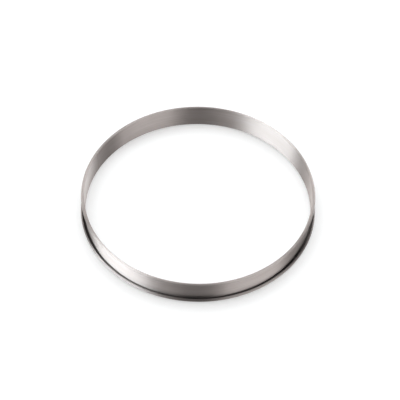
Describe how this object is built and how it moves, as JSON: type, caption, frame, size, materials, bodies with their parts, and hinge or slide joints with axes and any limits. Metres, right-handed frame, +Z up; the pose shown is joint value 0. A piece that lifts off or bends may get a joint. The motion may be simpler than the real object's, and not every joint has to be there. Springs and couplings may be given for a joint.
{
  "type": "quiche ring",
  "caption": "Open round baking ring of sheet steel with an upright wall and a hollow open bead rolled outwards along each edge.",
  "frame": {"origin": "middle of the ring, on the surface that the foot bead stands on", "axes": "+Z up along the ring's axis; the ring is round, so X and Y are any two directions square to it"},
  "size_m": [0.25, 0.25, 0.027],
  "materials": {
    "stainless_steel": "satin, brushed along the strip"
  },
  "bodies": {
    "root": {"quiche_ring": "stainless_steel"}
  },
  "joints": []
}
